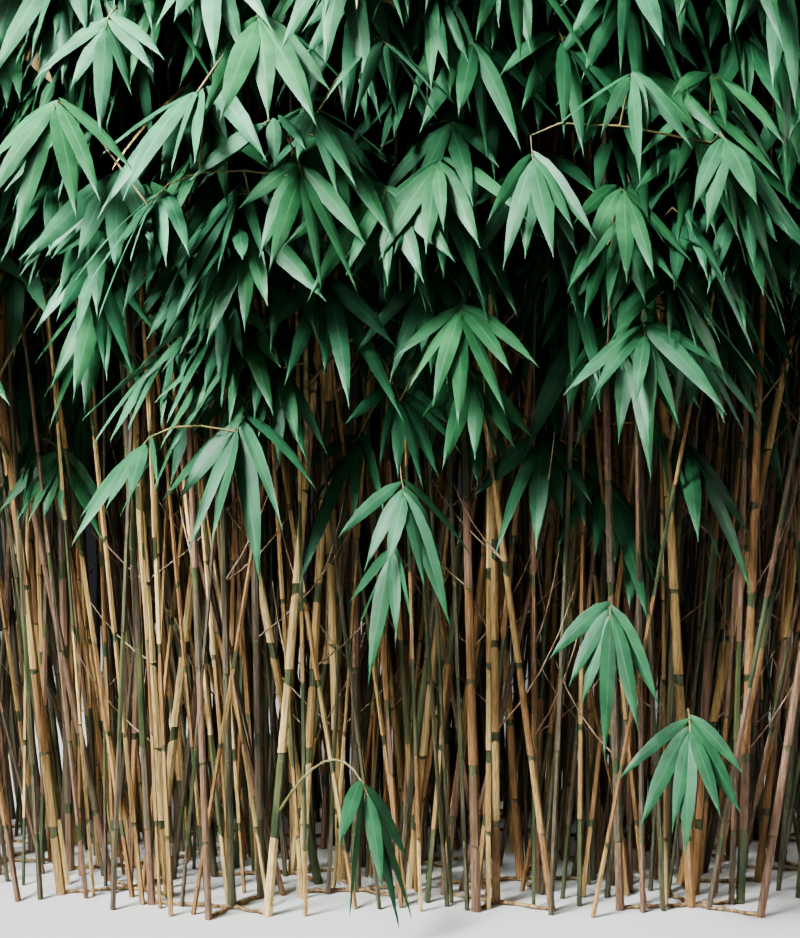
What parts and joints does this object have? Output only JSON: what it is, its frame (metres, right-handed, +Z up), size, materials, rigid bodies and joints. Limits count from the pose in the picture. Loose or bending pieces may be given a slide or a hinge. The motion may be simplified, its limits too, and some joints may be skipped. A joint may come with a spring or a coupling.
{
  "type": "bamboo clump",
  "caption": "Rooted clump of arrow bamboo: slender sheathed canes in tufts, rising from a flat cut at ground level into masses of long leaves that hang in hands.",
  "frame": {"origin": "centre of the flat cut under the main culm, at ground level", "axes": "+Z up the main culm, the clump's long way along X, the side in the picture towards -Y"},
  "size_m": [2.6168, 1.7836, 2.9455],
  "materials": {
    "cane": "satin",
    "foliage": "satin"
  },
  "bodies": {
    "root": {"main_culm": "cane", "culm_tuft_1": "cane", "culm_tuft_2": "cane", "culm_tuft_3": "cane", "culm_tuft_4": "cane", "culm_tuft_5": "cane", "culm_tuft_6": "cane", "culm_tuft_7": "cane", "culm_tuft_8": "cane", "culm_tuft_9": "cane", "culm_tuft_10": "cane", "culm_tuft_11": "cane", "culm_tuft_12": "cane", "culm_tuft_13": "cane", "culm_tuft_14": "cane", "culm_tuft_15": "cane", "culm_tuft_16": "cane", "culm_tuft_17": "cane", "culm_tuft_18": "cane", "culm_tuft_19": "cane", "culm_tuft_20": "cane", "culm_tuft_21": "cane", "culm_tuft_22": "cane", "culm_tuft_23": "cane", "culm_tuft_24": "cane", "culm_tuft_25": "cane", "culm_tuft_26": "cane", "culm_tuft_27": "cane", "culm_tuft_28": "cane", "culm_tuft_29": "cane", "culm_tuft_30": "cane", "culm_tuft_31": "cane", "foliage_low_1": "foliage", "foliage_low_2": "foliage", "foliage_low_3": "foliage", "foliage_low_4": "foliage", "foliage_low_5": "foliage", "foliage_low_6": "foliage", "foliage_low_7": "foliage", "foliage_low_8": "foliage", "foliage_low_9": "foliage", "foliage_mid_1": "foliage", "foliage_mid_2": "foliage", "foliage_mid_3": "foliage", "foliage_mid_4": "foliage", "foliage_mid_5": "foliage", "foliage_mid_6": "foliage", "foliage_mid_7": "foliage", "foliage_mid_8": "foliage", "foliage_mid_9": "foliage", "foliage_high_1": "foliage", "foliage_high_2": "foliage", "foliage_high_3": "foliage", "foliage_high_4": "foliage", "foliage_high_5": "foliage", "foliage_peak": "foliage", "low_spray_1": "foliage", "low_spray_2": "foliage", "low_spray_3": "foliage", "low_spray_4": "foliage"}
  },
  "joints": []
}
